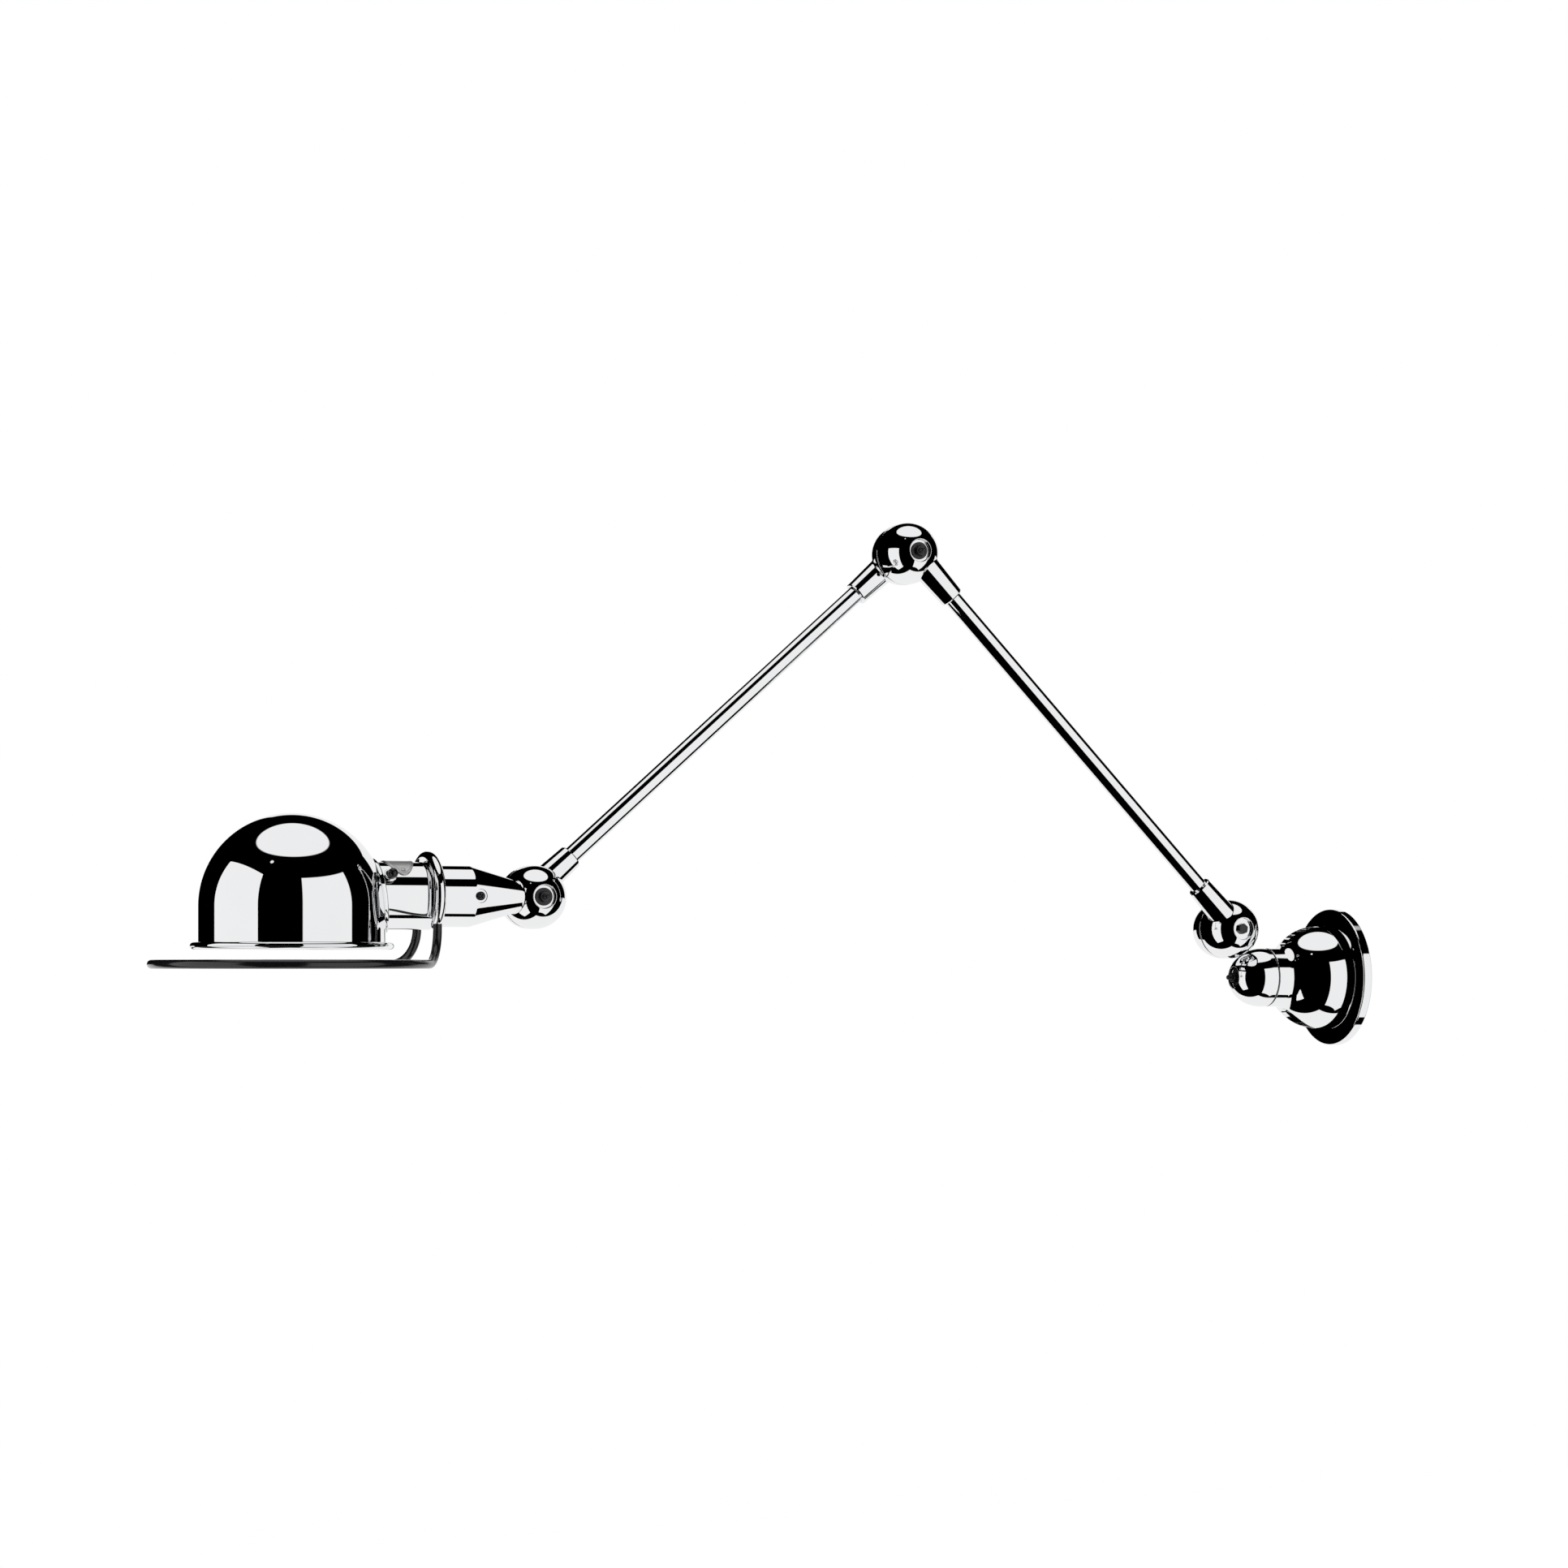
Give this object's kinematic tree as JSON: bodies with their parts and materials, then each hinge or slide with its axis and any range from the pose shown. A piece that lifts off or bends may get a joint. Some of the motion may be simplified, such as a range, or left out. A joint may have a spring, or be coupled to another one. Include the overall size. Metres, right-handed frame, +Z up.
{
  "type": "swing arm wall lamp",
  "caption": "Chromed wall lamp with hinged tubular arms on round swivel joints, a domed shade on a rolling head and a black wire ring guarding the shade.",
  "frame": {"origin": "centre of the wall plate's back face, on the wall, midway between the two wall screws", "axes": "+X into the wall, so the lamp reaches out along -X; +Z up; +Y to the far side of the arms"},
  "size_m": [0.728, 0.1528, 0.3017],
  "materials": {
    "chromed_metal": "polished chrome plating",
    "blackened_steel": "black oxide",
    "black_coating": "satin black coating",
    "zinc_steel": "zinc plated",
    "plate_aluminium": "brushed",
    "ring_steel": "satin",
    "white_nylon": "matt",
    "ceramic": "glazed",
    "frosted_glass": "frosted",
    "cap_metal": "satin",
    "black_plastic": "gloss",
    "wire_insulation": "matt",
    "phenolic_disc": "matt",
    "contact_brass": "bare"
  },
  "bodies": {
    "wall_base": {"wall_plate": "chromed_metal", "base_bell": "chromed_metal", "bell_screws": "blackened_steel", "wall_bracket": "zinc_steel", "terminal_block": "white_nylon", "terminal_screws": "contact_brass", "swivel_bolt": "blackened_steel", "swivel_washer": "blackened_steel", "swivel_bolt_nut": "blackened_steel", "swivel_ring": "ring_steel", "swivel_disc_fixed": "phenolic_disc", "swivel_contacts": "contact_brass"},
    "knuckle": {"double_knuckle": "chromed_metal", "swivel_disc_moving": "phenolic_disc", "swivel_studs": "contact_brass", "shoulder_ring": "ring_steel", "shoulder_disc_fixed": "phenolic_disc", "shoulder_contacts": "contact_brass"},
    "lower_arm": {"lower_arm_foot": "chromed_metal", "lower_arm_tube": "chromed_metal", "lower_arm_top": "chromed_metal", "lower_arm_wires": "wire_insulation", "shoulder_bolt": "blackened_steel", "shoulder_washer": "blackened_steel", "shoulder_nut": "blackened_steel", "shoulder_disc_moving": "phenolic_disc", "shoulder_studs": "contact_brass", "elbow_ring": "ring_steel", "elbow_disc_fixed": "phenolic_disc", "elbow_contacts": "contact_brass"},
    "upper_arm": {"upper_arm_top": "chromed_metal", "upper_arm_tube": "chromed_metal", "upper_arm_foot": "chromed_metal", "upper_arm_wires": "wire_insulation", "arm_bolts": "blackened_steel", "arm_washers": "blackened_steel", "arm_nuts": "blackened_steel", "elbow_disc_moving": "phenolic_disc", "elbow_studs": "contact_brass", "wrist_ring": "ring_steel", "wrist_disc_fixed": "phenolic_disc", "wrist_contacts": "contact_brass"},
    "tail": {"head_tail": "chromed_metal", "tail_screw": "blackened_steel", "swivel_pipe": "contact_brass", "swivel_nut": "contact_brass", "wrist_disc_moving": "phenolic_disc"},
    "shade_head": {"housing": "chromed_metal", "saddle": "chromed_metal", "shade": "chromed_metal", "guard_hoop": "chromed_metal", "guard_ring": "black_coating", "nameplate": "plate_aluminium", "nameplate_rivets": "plate_aluminium", "lampholder": "ceramic", "lampholder_shell": "contact_brass", "bulb_cap": "cap_metal", "bulb_glass": "frosted_glass", "switch_bushing": "chromed_metal"},
    "switch": {"switch_lever": "black_plastic"}
  },
  "joints": [
    {"name": "wall_swivel", "type": "hinge", "parent": "wall_base", "child": "knuckle", "pos_m": [-0.0493, 0, 0], "axis": [1, 0, 0], "continuous": true},
    {"name": "shoulder", "type": "hinge", "parent": "knuckle", "child": "lower_arm", "pos_m": [-0.07836, -0.004, 0.02883], "axis": [0, 1, 0], "range_deg": [-125, 40]},
    {"name": "elbow", "type": "hinge", "parent": "lower_arm", "child": "upper_arm", "pos_m": [-0.28826, -0.004, 0.24317], "axis": [0, -1, 0], "range_deg": [-150, 60]},
    {"name": "wrist", "type": "hinge", "parent": "upper_arm", "child": "tail", "pos_m": [-0.51329, -0.004, 0.04478], "axis": [0, -1, 0], "range_deg": [-80, 110]},
    {"name": "head_roll", "type": "hinge", "parent": "tail", "child": "shade_head", "pos_m": [-0.57559, -0.015, 0.04478], "axis": [1, 0, 0], "range_deg": [-90, 90]},
    {"name": "switch_throw", "type": "hinge", "parent": "shade_head", "child": "switch", "pos_m": [-0.60179, -0.0273, 0.05371], "axis": [-1, 0, 0], "range_deg": [0, 30]}
  ]
}
